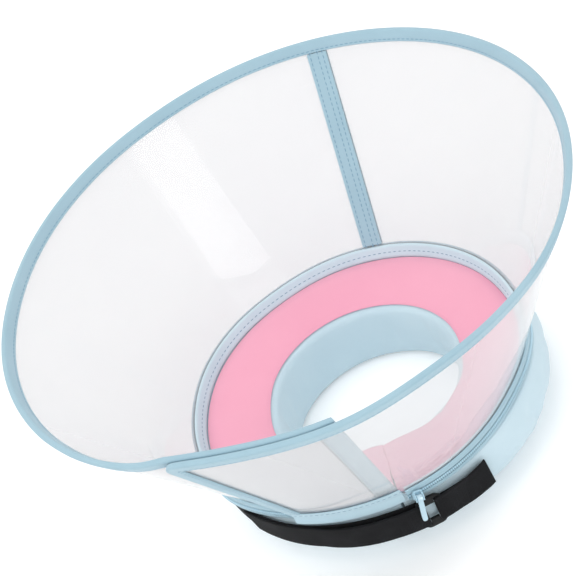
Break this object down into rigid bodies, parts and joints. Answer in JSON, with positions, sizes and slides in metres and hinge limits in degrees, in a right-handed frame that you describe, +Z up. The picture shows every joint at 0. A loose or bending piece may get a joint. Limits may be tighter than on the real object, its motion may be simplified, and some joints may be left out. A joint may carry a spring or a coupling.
{
  "type": "pet recovery cone collar with padded donut ring",
  "caption": "Clear flared cone with cloth binding, zipped onto a split padded ring that is closed by a strap, worn round a pet's neck.",
  "frame": {"origin": "on the floor under the middle of the whole collar's box", "axes": "+Z up along the ring's axis, the strap and the flap's overlap face -Y"},
  "size_m": [0.3198, 0.3152, 0.1616],
  "materials": {
    "pale_blue_cloth": "smooth matte cloth",
    "pink_cloth": "smooth matte cloth",
    "clear_sheet": "clear, glossy",
    "blue_binding": "matte cloth with stitching",
    "white_hook_and_loop": "matte",
    "blue_coil": "satin",
    "black_webbing": "woven, matte",
    "black_plastic": "semi gloss",
    "blue_enamel": "satin"
  },
  "bodies": {
    "collar": {"donut_cushion": "pale_blue_cloth", "top_panel": "pink_cloth", "cone_panel_right": "clear_sheet", "cone_panel_left": "clear_sheet", "back_seam_tape": "blue_binding", "edge_binding": "blue_binding", "neck_band": "blue_binding", "flap_band": "blue_binding", "closure_panel": "white_hook_and_loop", "zipper_tape_upper": "blue_binding", "zipper_tape_lower": "blue_binding", "zipper_coil": "blue_coil", "closure_strap": "black_webbing", "strap_tab": "black_webbing", "strap_ring": "black_plastic", "zip_slider": "blue_enamel"},
    "pull": {"zip_pull": "blue_enamel"}
  },
  "joints": [
    {"name": "pull_swing", "type": "hinge", "parent": "collar", "child": "pull", "pos_m": [-0.00451, -0.10798, 0.04377], "axis": [-0.977, 0.0478, 0.2079], "range_deg": [0, 95]}
  ]
}
